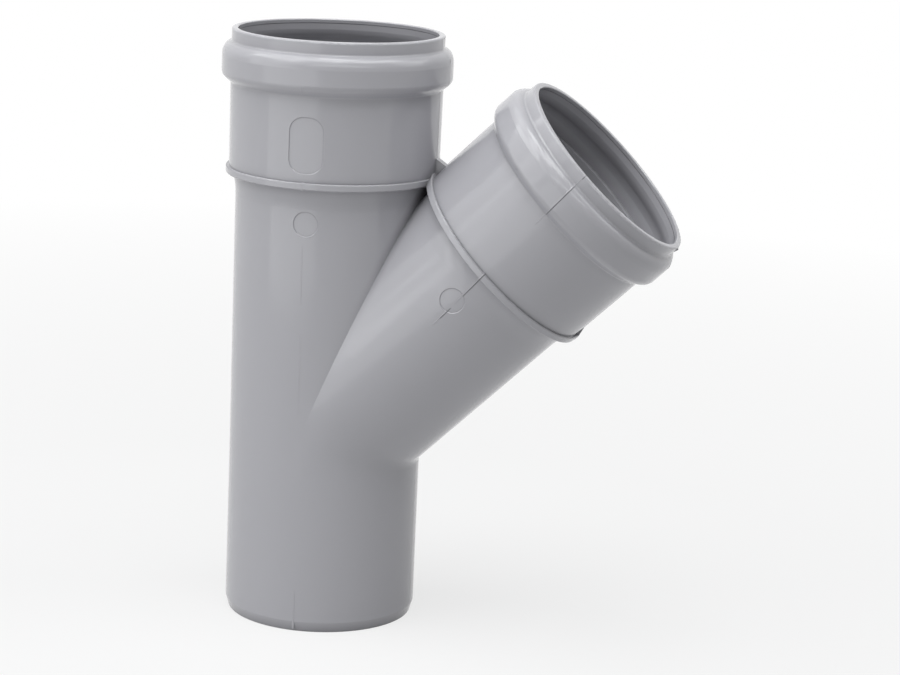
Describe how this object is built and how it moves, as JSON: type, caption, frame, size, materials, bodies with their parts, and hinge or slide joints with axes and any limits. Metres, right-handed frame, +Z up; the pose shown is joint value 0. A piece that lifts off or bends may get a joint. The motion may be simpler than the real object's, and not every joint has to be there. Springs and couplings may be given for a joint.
{
  "type": "lateral wye fitting",
  "caption": "Equal 45 degree drainage wye with a chamfered plain spigot, and beaded push-fit sockets on the run and on the branch.",
  "frame": {"origin": "centre of the spigot's end face, on the run axis", "axes": "+Z up the run axis to the run socket, +X to the side that the branch leaves, +Y square to the plane of both axes"},
  "size_m": [0.18, 0.0886, 0.2295],
  "materials": {
    "grey_plastic": "satin moulded polypropylene, light grey"
  },
  "bodies": {
    "root": {"wye_body": "grey_plastic"}
  },
  "joints": []
}
